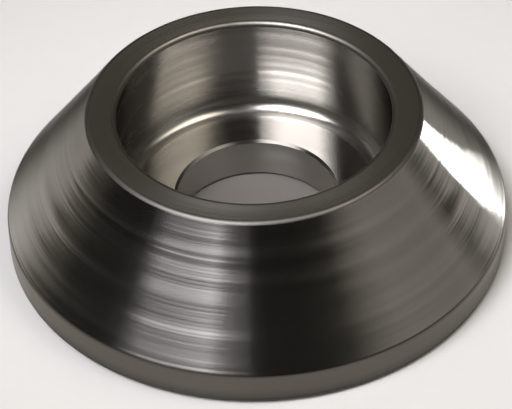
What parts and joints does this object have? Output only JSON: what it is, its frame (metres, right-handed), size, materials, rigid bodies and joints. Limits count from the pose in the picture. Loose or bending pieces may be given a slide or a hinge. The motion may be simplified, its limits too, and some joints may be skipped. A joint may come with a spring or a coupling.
{
  "type": "countersunk washer",
  "caption": "Cone-shaped turned steel washer with a flat-floored recess that sinks a screw's head and a clearance hole for its shank.",
  "frame": {"origin": "centre of the base face, on the turning axis", "axes": "+Z along the turning axis, out of the recess; X and Y lie in the base face"},
  "size_m": [0.02, 0.02, 0.0062],
  "materials": {
    "turned_steel": "bright turned steel, with fine tool lines around the axis"
  },
  "bodies": {
    "root": {"washer": "turned_steel"}
  },
  "joints": []
}
